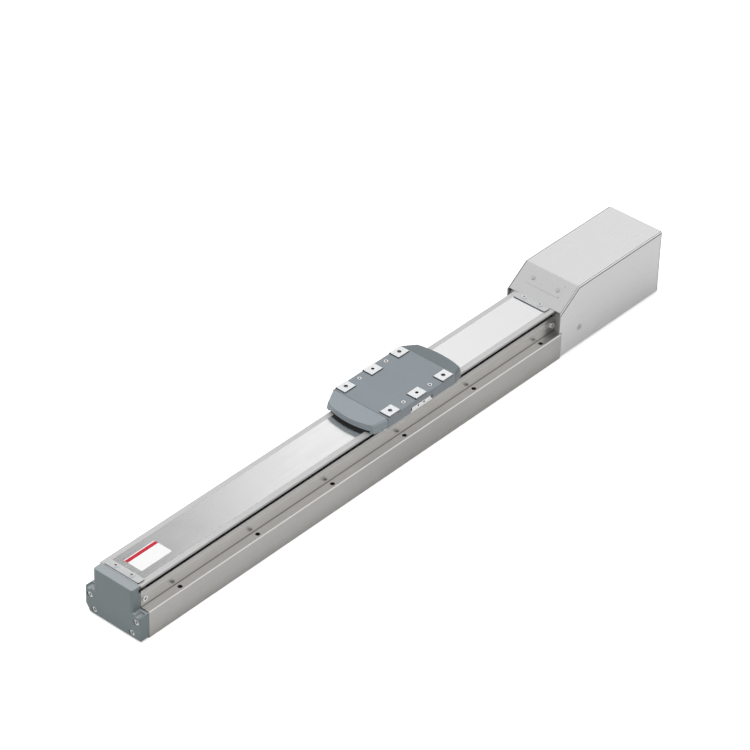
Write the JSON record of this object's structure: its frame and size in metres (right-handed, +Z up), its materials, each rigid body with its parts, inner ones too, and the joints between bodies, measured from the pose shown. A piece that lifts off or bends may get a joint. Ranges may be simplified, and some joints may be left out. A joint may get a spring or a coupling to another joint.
{
  "type": "ball-screw linear actuator",
  "caption": "Ball-screw linear module: a carriage with bare mounting pads slides over a stepped extruded base, driven by a servo motor under a folded sheet cover.",
  "frame": {"origin": "middle of the footprint, on the underside of the base", "axes": "+X along the rail from the end cap to the motor, +Z up, +Y to the left of +X"},
  "size_m": [0.8848, 0.0808, 0.0865],
  "materials": {
    "base_aluminium": "extruded, anodised, fine grain along its length",
    "lid_aluminium": "extruded, anodised",
    "stainless_band": "fine brushed along its length",
    "plate_steel": "satin plate",
    "grey_paint": "satin grey paint with a fine texture",
    "block_aluminium": "machined and clear anodised",
    "motor_sheet": "folded sheet, satin brushed",
    "dark_aluminium": "machined aluminium, dull",
    "bright_steel": "ground steel",
    "screw_steel": "plated fastener",
    "black_rubber": "moulded rubber",
    "motor_black": "black paint",
    "black_plastic": "moulded plastic",
    "spider_red": "soft polyurethane"
  },
  "bodies": {
    "root": {"access_plate": "motor_sheet", "access_plate_screws": "screw_steel", "adapter_screws": "screw_steel", "band_clamp_screws": "screw_steel", "base_profile": "base_aluminium", "bearing_block": "dark_aluminium", "bearing_block_screws": "screw_steel", "bearing_retainer": "plate_steel", "bottom_plate_screws": "screw_steel", "cable_grommet": "black_rubber", "cover_bottom_plate": "motor_sheet", "cover_side_screws": "screw_steel", "encoder_cap": "black_plastic", "end_cap": "grey_paint", "end_cap_screws": "screw_steel", "fixed_bearing_outer_rings": "bright_steel", "front_band_clamp": "plate_steel", "front_bearing_block": "dark_aluminium", "front_bearing_outer_ring": "bright_steel", "front_bumper": "black_rubber", "guide_rail_screws": "screw_steel", "left_guide_rail": "bright_steel", "motor_adapter": "dark_aluminium", "motor_body": "motor_black", "motor_connectors": "black_plastic", "motor_cover": "motor_sheet", "motor_flange": "dark_aluminium", "motor_screws": "screw_steel", "rear_band_clamp": "plate_steel", "rear_bumper": "black_rubber", "rear_support_block": "dark_aluminium", "retainer_screws": "screw_steel", "right_guide_rail": "bright_steel", "side_wall_screws": "screw_steel", "steel_band": "stainless_band", "top_cover": "lid_aluminium"},
    "carriage": {"slider_block": "block_aluminium", "carriage_cover": "grey_paint", "carriage_cover_screws": "screw_steel", "front_hood": "grey_paint", "rear_hood": "grey_paint", "front_wiper": "black_rubber", "rear_wiper": "black_rubber", "saddle": "dark_aluminium", "saddle_screws": "screw_steel", "right_runner_blocks": "bright_steel", "left_runner_blocks": "bright_steel", "runner_screws": "screw_steel", "ball_nut": "bright_steel", "ball_nut_screws": "screw_steel"},
    "screw": {"ball_screw": "bright_steel", "front_bearing_inner_ring": "bright_steel", "front_circlip": "screw_steel", "fixed_bearing_inner_rings": "bright_steel", "lock_nut": "screw_steel", "screw_coupling_hub": "block_aluminium", "motor_coupling_hub": "block_aluminium", "coupling_spider": "spider_red", "motor_shaft": "bright_steel"}
  },
  "joints": [
    {"name": "carriage_slide", "type": "slide", "parent": "root", "child": "carriage", "axis": [1, 0, 0], "range_m": [-0.3417, 0.1583]},
    {"name": "screw_spin", "type": "hinge", "parent": "root", "child": "screw", "pos_m": [0, 0, 0.038], "axis": [1, 0, 0], "range_deg": [-5698.8, 12301.2]}
  ],
  "couplings": [
    {"joint": "screw_spin", "follows": "carriage_slide", "rad_per_m": -628.32}
  ]
}
